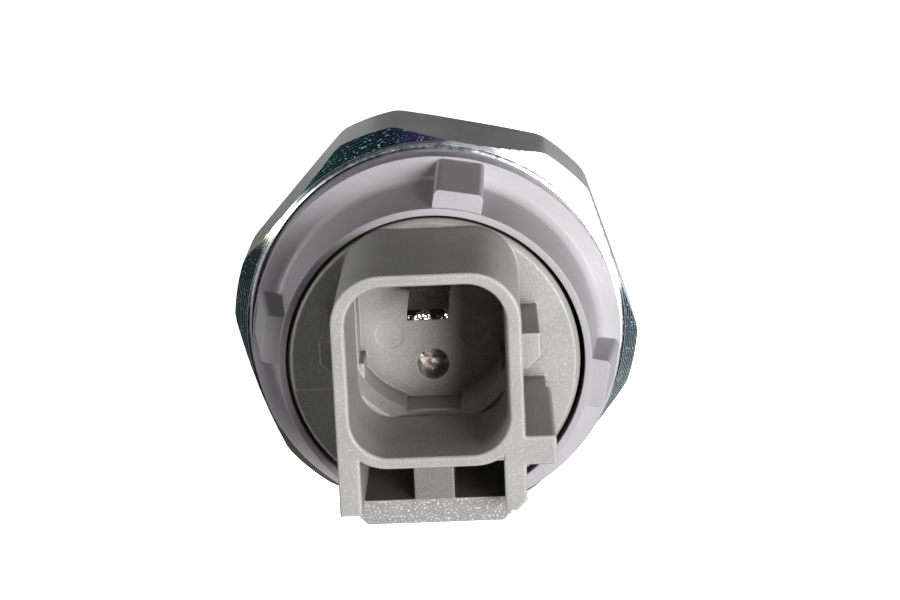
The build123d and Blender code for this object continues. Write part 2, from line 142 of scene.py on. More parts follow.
light_table = bpy.data.materials.new("light_table")
light_table.use_nodes = True
table_shader = light_table.node_tree.nodes["Principled BSDF"]
table_shader.inputs["Base Color"].default_value = (*FLOOR_COLOUR, 1)
table_shader.inputs["Roughness"].default_value = FLOOR_ROUGH
table_shader.inputs["Emission Color"].default_value = (1, 1, 1, 1)
table_shader.inputs["Emission Strength"].default_value = FLOOR_GLOW
floor_mesh.materials.append(light_table)

world = bpy.data.worlds.new("room")
world.use_nodes = True
background = world.node_tree.nodes["Background"]
background.inputs["Color"].default_value = (*ROOM_COLOUR, 1)
background.inputs["Strength"].default_value = ROOM_LIGHT
bpy.context.scene.world = world
print("floor at", round(stud_tip / MM, 2), "mm")

# %% Softboxes
LIT_POINT = Vector((0, 0, 18))


def softbox(name, turn, lean, distance, size, watts, colour=(1, 1, 1)):
    """A round light that leans from the axis by lean degrees, towards the direction turn."""
    data = bpy.data.lights.new(name, "AREA")
    data.shape = "DISK"
    data.size = size * MM
    data.energy = watts
    data.color = colour
    lamp = bpy.data.objects.new(name, data)
    turn, lean = math.radians(turn), math.radians(lean)
    out = Vector((math.sin(lean) * math.cos(turn), math.sin(lean) * math.sin(turn), math.cos(lean)))
    lamp.location = (out * distance + LIT_POINT) * MM
    lamp.rotation_euler = (-out).to_track_quat("-Z", "Y").to_euler()
    bpy.context.scene.collection.objects.link(lamp)
    print(name, "at", [round(c / MM) for c in lamp.location], "mm")


KEY_COLOUR = (1.0, 0.98, 0.985)
softbox("key", turn=6, lean=26, distance=400, size=190, watts=2.15, colour=KEY_COLOUR)
softbox("left_accent", turn=172, lean=79, distance=300, size=90, watts=0.36)
softbox("latch_side_fill", turn=268, lean=94, distance=300, size=200, watts=0.55)

# %% [markdown]
# ## What the metal mirrors
#
# Polished metal has little colour of its own: it shows the room. The steel's chamfer tilts so far
# that it mirrors what stands around it at table height, so a low wall of cards does the work there.
# Bright cards make the burnt-out streaks and dark ones the deep stretches. A strip runs along the
# top of the wall. Only rounded edges and small pits tilt enough to mirror it, so it draws the light
# line on the chamfer's inner edge and the glints. The cards are seen by reflections only, so they
# neither block the view nor shade the part. Each row below is one sector: where it starts and ends
# in degrees, then how bright its strip, its wall and the table before it glow.

# %% A wall of cards
WALL_R = 45
WALL_TOP = 24
STRIP_TOP = 38
WALL_STEPS = 120
CARDS = [
    (-44, -1, 2.5, 0.03, 0.85),
    (-1, 50, 3.0, 2.60, 0.40),
    (50, 66, 5.0, 2.20, 0.16),
    (66, 84, 4.0, 0.50, 0.13),
    (84, 101, 2.6, 0.08, 0.17),
    (101, 112, 2.4, 0.04, 0.19),
    (112, 137, 1.8, 0.03, 0.38),
    (137, 144, 4.0, 0.40, 0.30),
    (144, 158, 3.0, 2.60, 0.24),
    (158, 178, 0.2, 0.02, 0.14),
    (178, 222, 0.2, 0.02, 0.30),
    (222, 250, 0.9, 0.05, 0.16),
    (250, 316, 1.0, 0.40, 0.36),
]
CARD_LIFT = 0.3
CARDS_FROM_R = 6


def grow(bm, rim, radius, height):
    """Extrudes a round rim to that radius and height, in mm. Returns the new rim and faces."""
    made = bmesh.ops.extrude_edge_only(bm, edges=rim)["geom"]
    for point in [v for v in made if isinstance(v, bmesh.types.BMVert)]:
        flat = Vector((point.co.x, point.co.y, 0)).normalized() * radius * MM
        point.co = (flat.x, flat.y, height * MM)
    return (
        [e for e in made if isinstance(e, bmesh.types.BMEdge)],
        [f for f in made if isinstance(f, bmesh.types.BMFace)],
    )


def glow_material(name, strength):
    """A plain glowing card."""
    material = bpy.data.materials.new(name)
    material.use_nodes = True
    material.node_tree.nodes.clear()
    glow = material.node_tree.nodes.new("ShaderNodeEmission")
    glow.inputs["Strength"].default_value = strength
    output = material.node_tree.nodes.new("ShaderNodeOutputMaterial")
    material.node_tree.links.new(glow.outputs["Emission"], output.inputs["Surface"])
    return material


cards_bm = bmesh.new()
bmesh.ops.create_circle(cards_bm, cap_ends=False, segments=WALL_STEPS, radius=CARDS_FROM_R * MM)
card_level = stud_tip / MM + CARD_LIFT
bmesh.ops.translate(cards_bm, verts=cards_bm.verts, vec=(0, 0, card_level * MM))
rim, lying = grow(cards_bm, cards_bm.edges[:], WALL_R, card_level)
rim, standing = grow(cards_bm, rim, WALL_R, WALL_TOP)
rim, strip = grow(cards_bm, rim, WALL_R, STRIP_TOP)
cards_mesh = bpy.data.meshes.new("cards")
for start, end, *glows in CARDS:
    for faces, kind, strength in zip((strip, standing, lying), ("strip", "wall", "table"), glows):
        cards_mesh.materials.append(glow_material(f"{kind}_card_{start}", strength))
        for face in faces:
            middle = face.calc_center_median()
            turn = math.degrees(math.atan2(middle.y, middle.x))
            if (turn - start) % 360 < end - start:
                face.material_index = len(cards_mesh.materials) - 1
cards_bm.to_mesh(cards_mesh)
cards_bm.free()
cards = bpy.data.objects.new("cards", cards_mesh)
bpy.context.scene.collection.objects.link(cards)
cards.visible_camera = False
cards.visible_diffuse = False
cards.visible_shadow = False
print(len(CARDS), "sectors of cards, standing", WALL_R, "mm from the axis")

# %% [markdown]
# ## Helpers for pieces
#
# A new piece starts as a bmesh, Blender's editable mesh. When its shape is done, it becomes an
# object at the origin with its place in its mesh, as the solid model's own nodes have, so that a
# pattern on Object coordinates stays where it is. Turned faces are shaded smooth, and edges sharper
# than a limit are marked sharp, which keeps a flat face flat beside a round one.

# %% Turn a bmesh into a piece
SENDER = "sender"
SHARP = math.radians(35)


def make_piece(name, bm, body, materials, node=None, ridge=SHARP):
    """Links the bmesh as an object that rides on a body and, if a node is named, stands for it.

    An edge is sharp past SHARP, and an outside edge already past the ridge angle.
    """
    for face in bm.faces:
        face.smooth = True
    for edge in bm.edges:
        if len(edge.link_faces) == 2:
            angle = edge.calc_face_angle_signed()
            edge.smooth = abs(angle) < SHARP and angle < ridge
    mesh = bpy.data.meshes.new(name)
    bm.to_mesh(mesh)
    bm.free()
    for material in materials:
        mesh.materials.append(material)
    piece = bpy.data.objects.new(name, mesh)
    bpy.context.scene.collection.objects.link(piece)
    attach(piece, body)
    if node:
        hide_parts(node)
    print(name, len(mesh.polygons), "faces")
    return piece


# %% [markdown]
# ## Helpers for materials
#
# Every finish here is made of Blender's shader nodes on Object coordinates, in metres. Noise at two
# scales does most of the work: a coarse one for slow changes of colour, and a fine one for the
# grain that a bump turns into a surface. Moulded and turned edges are never knife sharp. The Bevel
# node looks a short way round each point and turns the shading normal as a small rounding would,
# which needs no extra faces. Where that turned normal leaves the real one, there is an edge, and
# edges are where handling polishes a surface. On the grey plastic they are also lightened in
# colour, as a painted highlight. The Ambient Occlusion node finds the opposite: corners and slots,
# which the grey plastic darkens as painted shade.

# %% Start a material


def new_material(name, colour, roughness, metallic=0.0):
    """A material with its shader's plain values set. Returns it, its tree and its shader."""
    material = bpy.data.materials.new(name)
    material.use_nodes = True
    shader = material.node_tree.nodes["Principled BSDF"]
    shader.inputs["Base Color"].default_value = (*colour, 1)
    shader.inputs["Roughness"].default_value = roughness
    shader.inputs["Metallic"].default_value = metallic
    return material, material.node_tree, shader


def coordinate(tree, axis):
    """One of the point's own X, Y and Z on the piece, in metres."""
    place = tree.nodes.new("ShaderNodeTexCoord")
    parts = tree.nodes.new("ShaderNodeSeparateXYZ")
    tree.links.new(place.outputs["Object"], parts.inputs["Vector"])
    return parts.outputs[axis]


print("new_material and coordinate are ready")

# %% Patterns
NOISE_LOW, NOISE_HIGH = 0.3, 0.7


def noise(tree, per_mm, detail=2.0, stretch=(1, 1, 1)):
    """A noise on Object coordinates with about per_mm grains to a millimetre."""
    place = tree.nodes.new("ShaderNodeTexCoord")
    mapping = tree.nodes.new("ShaderNodeMapping")
    mapping.inputs["Scale"].default_value = stretch
    grain = tree.nodes.new("ShaderNodeTexNoise")
    grain.inputs["Scale"].default_value = per_mm / MM
    grain.inputs["Detail"].default_value = detail
    tree.links.new(place.outputs["Object"], mapping.inputs["Vector"])
    tree.links.new(mapping.outputs["Vector"], grain.inputs["Vector"])
    return grain.outputs["Fac"]


def ramp(tree, value, stops):
    """A colour ramp with (position, colour) stops on a value."""
    made = tree.nodes.new("ShaderNodeValToRGB")
    spots = made.color_ramp.elements
    for spot, (position, colour) in ((spots[0], stops[0]), (spots[1], stops[-1])):
        spot.position = position
        spot.color = (*colour, 1)
    for position, colour in stops[1:-1]:
        spots.new(position).color = (*colour, 1)
    tree.links.new(value, made.inputs["Fac"])
    return made.outputs["Color"]


def map_to(tree, value, from_low, from_high, low, high):
    """The value, moved from one range to another and held inside it."""
    made = tree.nodes.new("ShaderNodeMapRange")
    ends = {"From Min": from_low, "From Max": from_high, "To Min": low, "To Max": high}
    for name, limit in ends.items():
        made.inputs[name].default_value = limit
    tree.links.new(value, made.inputs["Value"])
    return made.outputs["Result"]


def spread(tree, value, low, high):
    """A noise, stretched from its middle range to run from low to high."""
    return map_to(tree, value, NOISE_LOW, NOISE_HIGH, low, high)


print("noise, ramp, map_to and spread are ready")

# %% Edges and corners
EDGE_SAMPLES = 6
ON_EDGE, OFF_EDGE = 0.92, 0.995
SHUT_IN, IN_THE_OPEN = 0.15, 0.7


def rounded_normal(tree, edge_mm):
    """The normal as it would be with every edge rounded by edge_mm."""
    made = tree.nodes.new("ShaderNodeBevel")
    made.samples = EDGE_SAMPLES
    made.inputs["Radius"].default_value = edge_mm * MM
    return made.outputs["Normal"]


def edge_mask(tree, rounded):
    """1 on edges and 0 elsewhere: how far a rounded normal leaves the surface's own."""
    own = tree.nodes.new("ShaderNodeNewGeometry")
    dot = tree.nodes.new("ShaderNodeVectorMath")
    dot.operation = "DOT_PRODUCT"
    tree.links.new(own.outputs["Normal"], dot.inputs[0])
    tree.links.new(rounded, dot.inputs[1])
    return map_to(tree, dot.outputs["Value"], ON_EDGE, OFF_EDGE, 1.0, 0.0)


def open_mask(tree, reach_mm, darkest):
    """1 in the open, down to darkest where surfaces within reach_mm hide the surroundings."""
    made = tree.nodes.new("ShaderNodeAmbientOcclusion")
    made.samples = EDGE_SAMPLES
    made.inputs["Distance"].default_value = reach_mm * MM
    return map_to(tree, made.outputs["AO"], SHUT_IN, IN_THE_OPEN, darkest, 1.0)


def bump(tree, shader, height, depth_mm, strength=1.0, over=None):
    """A bump of that depth into the shader's normal, over another normal if one is given."""
    made = tree.nodes.new("ShaderNodeBump")
    made.inputs["Strength"].default_value = strength
    made.inputs["Distance"].default_value = depth_mm * MM
    tree.links.new(height, made.inputs["Height"])
    if over:
        tree.links.new(over, made.inputs["Normal"])
    tree.links.new(made.outputs["Normal"], shader.inputs["Normal"])
    return made.outputs["Normal"]


print("edges and corners are found with", EDGE_SAMPLES, "samples")

# %% Mixing colours
FACTOR, FIRST, SECOND, MIXED = 0, 6, 7, 2


def mix_colours(tree, blend, factor, first, second):
    """Two colours mixed by a blend type. Each may be a plain value or a link."""
    made = tree.nodes.new("ShaderNodeMix")
    made.data_type = "RGBA"
    made.blend_type = blend
    for number, value in ((FACTOR, factor), (FIRST, first), (SECOND, second)):
        socket = made.inputs[number]
        if isinstance(value, bpy.types.NodeSocket):
            tree.links.new(value, socket)
        elif isinstance(value, tuple):
            socket.default_value = (*value, 1)
        else:
            socket.default_value = value
    return made.outputs[MIXED]


print("mix_colours is ready")

# %% [markdown]
# ## Moulded plastics
#
# The connector is a glass-filled grey plastic from a spark-eroded mould: matt, very slightly
# speckled, with a fine even grain. Its edges are lightened as a painted highlight, and its corners
# and slots darkened as painted shade. Two places get more painted shade. The pocket between the
# latch legs is much darker, and the bridge's end face is a little darker, with painted glints. A
# box of coordinates picks each of them out, so that one material does for the whole moulding. The
# ring is unfilled nylon: whiter, smoother, a little waxy, and light goes into it a short way, so it
# gets some subsurface scattering.

# %% Places on the connector
POCKET = (-3.97, 3.97), (-5.41, -2.69), (15, 26)
BRIDGE_TOP = (-4.32, 4.32), (-6.84, -5.42), (25.6, 25.7)


def within(tree, *ranges):
    """1 where the point's X, Y and Z, in mm, are inside their ranges, else 0."""
    held = None
    for axis, (low, high) in zip("XYZ", ranges):
        inside = tree.nodes.new("ShaderNodeMath")
        inside.operation = "COMPARE"
        inside.inputs[1].default_value = (low + high) / 2 * MM
        inside.inputs[2].default_value = (high - low) / 2 * MM
        tree.links.new(coordinate(tree, axis), inside.inputs[0])
        if held:
            both = tree.nodes.new("ShaderNodeMath")
            both.operation = "MULTIPLY"
            tree.links.new(held, both.inputs[0])
            tree.links.new(inside.outputs["Value"], both.inputs[1])
            inside = both
        held = inside.outputs["Value"]
    return held


print("pocket's X, Y and Z in mm:", POCKET)

# %% Grey connector plastic
MOULDED_EDGE = 0.2
MATT, POLISHED = 0.46, 0.10
GREY_DARK, GREY_LIGHT = (0.335, 0.335, 0.325), (0.385, 0.38, 0.37)
GLASS_SPECK = (0.12, 0.118, 0.114)
# Lighter edge colour is a painted highlight. Corner, pocket and bridge darkening is painted shade,
# and the bridge's glints are painted.
PAINTED_EDGE_HIGHLIGHT, EDGE_HIGHLIGHT_SHARE = (0.80, 0.79, 0.76), 0.42
CORNER_REACH, CORNER_SHADE = 2.4, 0.3
POCKET_PAINTED_SHADE = (0.54, 0.53, 0.53)
BRIDGE_PAINTED_SHADE, BRIDGE_PAINTED_GLINT = (0.80, 0.79, 0.80), (0.40, 0.40, 0.40)
NONE, ALL = (0, 0, 0), (1, 1, 1)

grey_plastic, tree, shader = new_material(
    "grey_connector_plastic", (0.35, 0.35, 0.34), roughness=MATT,
)
rounded = rounded_normal(tree, MOULDED_EDGE)
edges = edge_mask(tree, rounded)
tint = ramp(tree, noise(tree, per_mm=0.35, detail=3), [(0.3, GREY_DARK), (0.7, GREY_LIGHT)])
speck = ramp(tree, noise(tree, per_mm=9, detail=2), [(0.54, NONE), (0.70, GLASS_SPECK)])
colour = mix_colours(tree, "ADD", 1.0, tint, speck)
# Edges lightened in colour: a painted highlight.
highlighted = map_to(tree, edges, 0, 1, 0, EDGE_HIGHLIGHT_SHARE)
colour = mix_colours(tree, "MIX", highlighted, colour, PAINTED_EDGE_HIGHLIGHT)
# Corners and slots darkened: painted shade.
colour = mix_colours(tree, "MULTIPLY", 1.0, colour, open_mask(tree, CORNER_REACH, CORNER_SHADE))
# The pocket between the latch legs: painted shade.
colour = mix_colours(tree, "MULTIPLY", within(tree, *POCKET), colour, POCKET_PAINTED_SHADE)
# The bridge's end face: darkened as painted shade, with painted glints added.
on_bridge = within(tree, *BRIDGE_TOP)
painted_glints = ramp(tree, noise(tree, per_mm=9, detail=2), [(0.54, NONE), (0.74, BRIDGE_PAINTED_GLINT)])
colour = mix_colours(tree, "MULTIPLY", on_bridge, colour, BRIDGE_PAINTED_SHADE)
colour = mix_colours(tree, "ADD", on_bridge, colour, painted_glints)
tree.links.new(colour, shader.inputs["Base Color"])
tree.links.new(map_to(tree, edges, 0, 1, MATT, POLISHED), shader.inputs["Roughness"])
grain = noise(tree, per_mm=12, detail=3)
bump(tree, shader, grain, depth_mm=0.03, strength=0.8, over=rounded)
print(grey_plastic.name, "has", len(tree.nodes), "nodes")

# %% White ring nylon
NYLON_EDGE = 0.12
NYLON_DARK, NYLON_LIGHT = (0.41, 0.40, 0.41), (0.46, 0.445, 0.46)
WAXY, GLOSSY = (0.46, 0.46, 0.46), (0.34, 0.34, 0.34)
LIGHT_ENTERS = 0.35
LIGHT_REACH = (1.0, 0.95, 1.05)
LIGHT_REACH_MM = 0.6

white_nylon, tree, shader = new_material("white_ring_nylon", (0.46, 0.44, 0.465), roughness=0.36)
shader.inputs["Subsurface Weight"].default_value = LIGHT_ENTERS
shader.inputs["Subsurface Radius"].default_value = LIGHT_REACH
shader.inputs["Subsurface Scale"].default_value = LIGHT_REACH_MM * MM
rounded = rounded_normal(tree, NYLON_EDGE)
cloud = ramp(tree, noise(tree, per_mm=0.2, detail=2), [(0.35, NYLON_DARK), (0.65, NYLON_LIGHT)])
tree.links.new(cloud, shader.inputs["Base Color"])
glossy_specks = ramp(tree, noise(tree, per_mm=5, detail=2), [(0.55, WAXY), (0.68, GLOSSY)])
tree.links.new(glossy_specks, shader.inputs["Roughness"])
grain = noise(tree, per_mm=6, detail=2)
bump(tree, shader, grain, depth_mm=0.02, strength=0.5, over=rounded)
print(white_nylon.name, "has", len(tree.nodes), "nodes")

# %% [markdown]
# ## Plated steel
#
# The hexagon is bright zinc. Its flats are drawn bar: grey and satin, with faint draw lines along
# the axis. The chamfer is turned, and its thin passivated skin shows interference colours that
# change slowly round the part: teal, indigo and straw. The colours round the chamfer are partly
# that skin and partly painted reflections: near-white and straw-white stretches stand for
# mirrored lights, and the darkest teal stretches for the dark room. A radial gradient on Object
# coordinates gives the share of a turn round the axis. It starts on the left, at -X, and runs
# anticlockwise, so 0.5 is the right. Noise makes its borders wander, and a ramp turns it into
# colours. The skin ends just below the face, and bare zinc shows on the rim. Small pits in the
# plating tilt the surface here and there and catch the strip light, and their colour is lifted to
# bare zinc as painted glints. The thread's zinc is nearly silver, with only a breath of the skin's
# colours.

# %% Drawn flats
DRAWN_EDGE = 0.5
DRAWN_DARK, DRAWN_LIGHT = (0.52, 0.53, 0.52), (0.60, 0.61, 0.60)
ALONG_THE_BAR = (1, 1, 0.1)

drawn_steel, tree, shader = new_material(
    "drawn_zinc_steel", (0.36, 0.37, 0.36), roughness=0.34, metallic=1.0,
)
tone = ramp(tree, noise(tree, per_mm=0.25, detail=3), [(0.3, DRAWN_DARK), (0.7, DRAWN_LIGHT)])
tree.links.new(tone, shader.inputs["Base Color"])
gloss = spread(tree, noise(tree, per_mm=2, detail=3), low=0.30, high=0.40)
tree.links.new(gloss, shader.inputs["Roughness"])
rounded = rounded_normal(tree, DRAWN_EDGE)
grain = noise(tree, per_mm=9, detail=3, stretch=ALONG_THE_BAR)
bump(tree, shader, grain, depth_mm=0.002, strength=0.5, over=rounded)
print(drawn_steel.name, "has", len(tree.nodes), "nodes")

# %% Colours and painted reflections round the turned skin
# Near-white and straw-white stops are painted reflections of lights, and the darkest teal stops are
# painted reflections of the dark room. The hues between are the skin's own.
SKIN_AND_PAINTED_REFLECTIONS = [
    (0.00, (0.12, 0.24, 0.26)),
    (0.08, (0.20, 0.30, 0.24)),
    (0.13, (0.50, 0.60, 0.40)),
    (0.16, (0.62, 0.68, 0.48)),
    (0.30, (0.60, 0.62, 0.60)),
    (0.43, (0.38, 0.50, 0.47)),
    (0.48, (0.26, 0.36, 0.40)),
    (0.51, (0.22, 0.33, 0.46)),
    (0.535, (0.34, 0.46, 0.80)),
    (0.56, (0.96, 0.96, 0.90)),
    (0.70, (0.96, 0.97, 0.98)),
    (0.735, (0.50, 0.52, 0.90)),
    (0.765, (0.24, 0.22, 0.62)),
    (0.785, (0.10, 0.28, 0.36)),
    (0.865, (0.13, 0.36, 0.33)),
    (0.882, (0.96, 0.88, 0.70)),
    (0.915, (0.98, 0.94, 0.78)),
    (0.930, (0.14, 0.26, 0.32)),
    (1.00, (0.12, 0.24, 0.26)),
]
BARE_ZINC = (0.86, 0.87, 0.90)
SKIN_TOP, SKIN_GONE = 8.28, 8.40
SKIN_WANDERS = 0.008
print(len(SKIN_AND_PAINTED_REFLECTIONS), "colours round the turned skin")

# %% Turned skin
turned_steel, tree, shader = new_material(
    "turned_zinc_steel", (0.5, 0.52, 0.52), roughness=0.22, metallic=1.0,
)
place = tree.nodes.new("ShaderNodeTexCoord")
round_axis = tree.nodes.new("ShaderNodeTexGradient")
round_axis.gradient_type = "RADIAL"
tree.links.new(place.outputs["Object"], round_axis.inputs["Vector"])
wander = tree.nodes.new("ShaderNodeMath")
tree.links.new(round_axis.outputs["Fac"], wander.inputs[0])
shift = spread(tree, noise(tree, per_mm=0.8, detail=4), -SKIN_WANDERS, SKIN_WANDERS)
tree.links.new(shift, wander.inputs[1])
skinned = map_to(tree, coordinate(tree, "Z"), SKIN_TOP * MM, SKIN_GONE * MM, 1, 0)
# Pits: the bump tilts them to catch the strip light, and their colour lifted to bare zinc is a
# painted glint.
pits_and_glints = ramp(tree, noise(tree, per_mm=8, detail=2), [(0.64, NONE), (0.72, ALL)])
pits_and_glints = mix_colours(tree, "MIX", skinned, NONE, pits_and_glints)
# The skin's hues together with painted reflections round the chamfer.
skin_and_reflections = ramp(tree, wander.outputs["Value"], SKIN_AND_PAINTED_REFLECTIONS)
skin_and_reflections = mix_colours(tree, "MIX", pits_and_glints, skin_and_reflections, BARE_ZINC)
skin_and_reflections = mix_colours(tree, "MIX", skinned, BARE_ZINC, skin_and_reflections)
tree.links.new(skin_and_reflections, shader.inputs["Base Color"])
gloss = spread(tree, noise(tree, per_mm=3, detail=3), low=0.12, high=0.22)
tree.links.new(gloss, shader.inputs["Roughness"])
pitted = bump(tree, shader, pits_and_glints, depth_mm=0.03, strength=1.0)
grain = noise(tree, per_mm=16, detail=3)
bump(tree, shader, grain, depth_mm=0.003, strength=0.5, over=pitted)
print(turned_steel.name, "has", len(tree.nodes), "nodes")

# %% Zinc of the thread
THREAD_SHEEN = [
    (0.32, (0.60, 0.68, 0.70)),
    (0.45, (0.74, 0.75, 0.74)),
    (0.55, (0.70, 0.69, 0.76)),
    (0.68, (0.78, 0.76, 0.66)),
]
thread_zinc, tree, shader = new_material(
    "thread_zinc", (0.72, 0.73, 0.74), roughness=0.26, metallic=1.0,
)
sheen = ramp(tree, noise(tree, per_mm=0.3, detail=4), THREAD_SHEEN)
tree.links.new(sheen, shader.inputs["Base Color"])
gloss = spread(tree, noise(tree, per_mm=3, detail=3), low=0.20, high=0.34)
tree.links.new(gloss, shader.inputs["Roughness"])
grain = noise(tree, per_mm=14, detail=3)
bump(tree, shader, grain, depth_mm=0.006, strength=0.6)
print(thread_zinc.name, "has", len(tree.nodes), "nodes")

# %% [markdown]
# ## The turned hexagon
#
# The real body starts as hexagonal bar. A lathe turns its corners round, chamfers both ends and
# bores the cup, and the tool leaves a fine spiral of feed marks. Here the section is drawn once and
# spun, with the chamfer's feed marks in the section itself, and then six planes cut the flats. That
# is the same order of work backwards, and it keeps every mark where the lathe would leave it. Drawn
# bar has soft corners, so twelve more planes take the hard edge off where a flat meets the round.

# %% Hexagon section
HEX_AF = 24.0
HEX_H = 8.6
CORNER_R = 12.9
FACE_R = 11.85
CHAMFER_DOWN = 1.7
BACK_IN, BACK_UP = 0.7, 0.4
HEX_TURN = -12.2
LIP_R, LIP_Z = 9.15, 7.9
CUP_R, CUP_Z = 10.2, 3.2
GROOVE_OUT_R, GROOVE_IN_R, GROOVE_Z = 8.8, 7.1, 2.1
CHAMBER_R, CHAMBER_Z = 6.2, 2.2
ORIFICE_R = 0.6
FEED_CHAMFER = 0.24
FEED_DEPTH = 0.022
FEED_RIDGE = math.radians(9)
RIM_ROUND = 0.3
RIM_STEPS = 4
CORNER_SOFT = 0.045
TURN_STEPS = 240
SAME_PLACE = 0.001
CUT_CLOSE = 0.00001
UPRIGHT = 0.1
SIDES = 6
SIDE_TURN = 360 / SIDES
DRAWN_SLOT = 1

section = [
    (ORIFICE_R, 0), (CORNER_R - BACK_IN, 0), (CORNER_R, BACK_UP), (CORNER_R, HEX_H - CHAMFER_DOWN),
    (FACE_R, HEX_H), (LIP_R, HEX_H), (LIP_R, LIP_Z), (CUP_R, LIP_Z), (CUP_R, CUP_Z),
    (GROOVE_OUT_R, CUP_Z), (GROOVE_OUT_R, GROOVE_Z), (GROOVE_IN_R, GROOVE_Z), (GROOVE_IN_R, CUP_Z),
    (CHAMBER_R, CUP_Z), (CHAMBER_R, CHAMBER_Z), (ORIFICE_R, CHAMBER_Z),
]
CHAMFER_LINE = 3
print("section of", len(section), "corners")

# %% Tools for turned pieces


def section_loop(bm, points):
    """A closed loop of edges in the XZ plane through (radius, height) points in millimetres."""
    corners = [bm.verts.new((r * MM, 0, z * MM)) for r, z in points]
    return [bm.edges.new((a, b)) for a, b in zip(corners, corners[1:] + corners[:1])]


def feed_marks(bm, edge, feed, depth):
    """Cuts an edge of a section into feed marks: every second new point moves into the metal."""
    start, end = edge.verts[0].co.copy(), edge.verts[1].co.copy()
    along = end - start
    into = Vector((-along.z, 0, along.x)).normalized()
    if into.x > 0:
        into.negate()
    cuts = 2 * round(along.length / MM / feed) - 1
    made = bmesh.ops.subdivide_edges(bm, edges=[edge], cuts=cuts)["geom_inner"]
    points = [v for v in made if isinstance(v, bmesh.types.BMVert)]
    points.sort(key=lambda v: (v.co - start).dot(along))
    for point in points[::2]:
        point.co += into * depth * MM


def spin_full(bm, steps):
    """Spins all that is in the bmesh once round Z."""
    bmesh.ops.spin(
        bm, geom=bm.verts[:] + bm.edges[:], cent=(0, 0, 0), axis=(0, 0, 1), dvec=(0, 0, 0),
        angle=2 * math.pi, steps=steps, use_merge=True, use_duplicate=False,
    )
    bmesh.ops.recalc_face_normals(bm, faces=bm.faces)


print("section_loop, feed_marks and spin_full are ready")

# %% Spin the hexagon's section and round its rim
hexagon = bmesh.new()
loop = section_loop(hexagon, section)
feed_marks(hexagon, loop[CHAMFER_LINE], FEED_CHAMFER, FEED_DEPTH)
spin_full(hexagon, TURN_STEPS)


def on_ring(point, radius, height):
    """Whether a vertex lies on the circle of that radius at that height, in millimetres."""
    level = abs(point.co.z - height * MM) < SAME_PLACE * MM
    return level and abs(point.co.xy.length - radius * MM) < SAME_PLACE * MM


rim = [e for e in hexagon.edges if all(on_ring(v, FACE_R, HEX_H) for v in e.verts)]
bmesh.ops.bevel(
    hexagon, geom=rim, offset=RIM_ROUND * MM, offset_type="OFFSET", affect="EDGES",
    segments=RIM_STEPS, profile=0.5, material=-1,
)
print("rim of", len(rim), "edges rounded by", RIM_ROUND, "mm")

# %% Cut the flats and soften their ends
for face in hexagon.faces:
    face.normal_update()
    if abs(face.normal.z) < UPRIGHT and face.calc_center_median().xy.length > FACE_R * MM:
        face.material_index = DRAWN_SLOT
FLAT_FACING = HEX_TURN + SIDE_TURN / 2
flat_end = math.acos(HEX_AF / 2 / CORNER_R)
soft_away = CORNER_R * math.cos(flat_end / 2) - CORNER_SOFT
for side in range(SIDES):
    facing = math.radians(FLAT_FACING + SIDE_TURN * side)
    for turn, away in ((0, HEX_AF / 2), (flat_end / 2, soft_away), (-flat_end / 2, soft_away)):
        out = Vector((math.cos(facing + turn), math.sin(facing + turn), 0))
        cut = bmesh.ops.bisect_plane(
            hexagon, geom=hexagon.verts[:] + hexagon.edges[:] + hexagon.faces[:],
            dist=CUT_CLOSE * MM, plane_co=out * away * MM, plane_no=out, clear_outer=True,
        )
        edges = [e for e in cut["geom_cut"] if isinstance(e, bmesh.types.BMEdge)]
        for face in bmesh.ops.contextual_create(hexagon, geom=edges)["faces"]:
            face.material_index = DRAWN_SLOT
bmesh.ops.recalc_face_normals(hexagon, faces=hexagon.faces)
make_piece("hexagon", hexagon, SENDER, [turned_steel, drawn_steel], "hex_body", FEED_RIDGE)

# %% [markdown]
# ## The threaded stud
#
# A screw thread is one ridge that climbs a pitch with each turn. Spinning one pitch of its section
# with a small step along the axis at each turn step makes exactly that. The last point of one turn
# meets the first point of the next, so welding closes the surface. Both ends are cut off level, and
# the chamfers come from a limit on the radius near each end. Points that this pushes together are
# welded, or the mesh would keep slivers. The open rims are then drawn on, as a potter draws up a
# wall, to make the relief, the stud's tip and the oil port, and a bridge closes the last gap
# between them at the seating face.

# %% Thread values
THREAD_R = 5.0
THREAD_PITCH = 1.0
THREAD_DEEP = 0.6134
CREST_FLAT = 0.125
ROOT_FLAT = 0.167
RELIEF_R = 4.35
RELIEF_END = -1.8
STUD_END = -11.0
TIP_CHAMFER = 0.8
PORT_R = 1.6
PORT_TOP = -3.5
THREAD_STEPS = 72
THREAD_TURNS = 11
WELD = 0.001
WELD_CHAMFER = 0.002
print("thread", 2 * THREAD_R, "mm wide, with a pitch of", THREAD_PITCH, "mm")

# %% One pitch, spun along the axis
stud = bmesh.new()
flank = (THREAD_PITCH - CREST_FLAT - ROOT_FLAT) / 2
climb = [0, ROOT_FLAT / 2, ROOT_FLAT / 2 + flank, ROOT_FLAT / 2 + flank + CREST_FLAT,
         THREAD_PITCH - ROOT_FLAT / 2, THREAD_PITCH]
depth = [THREAD_DEEP, THREAD_DEEP, 0, 0, THREAD_DEEP, THREAD_DEEP]
ridge = [stud.verts.new(((THREAD_R - d) * MM, 0, -z * MM)) for d, z in zip(depth, climb)]
for a, b in zip(ridge, ridge[1:]):
    stud.edges.new((a, b))
bmesh.ops.spin(
    stud, geom=stud.verts[:] + stud.edges[:], cent=(0, 0, 0), axis=(0, 0, 1),
    dvec=(0, 0, -THREAD_PITCH / THREAD_STEPS * MM), angle=2 * math.pi * THREAD_TURNS,
    steps=THREAD_STEPS * THREAD_TURNS, use_merge=False, use_duplicate=False,
)
bmesh.ops.remove_doubles(stud, verts=stud.verts, dist=WELD * MM)
print(THREAD_TURNS, "turns of", len(stud.faces), "faces")

# %% Cut the ends and chamfer them


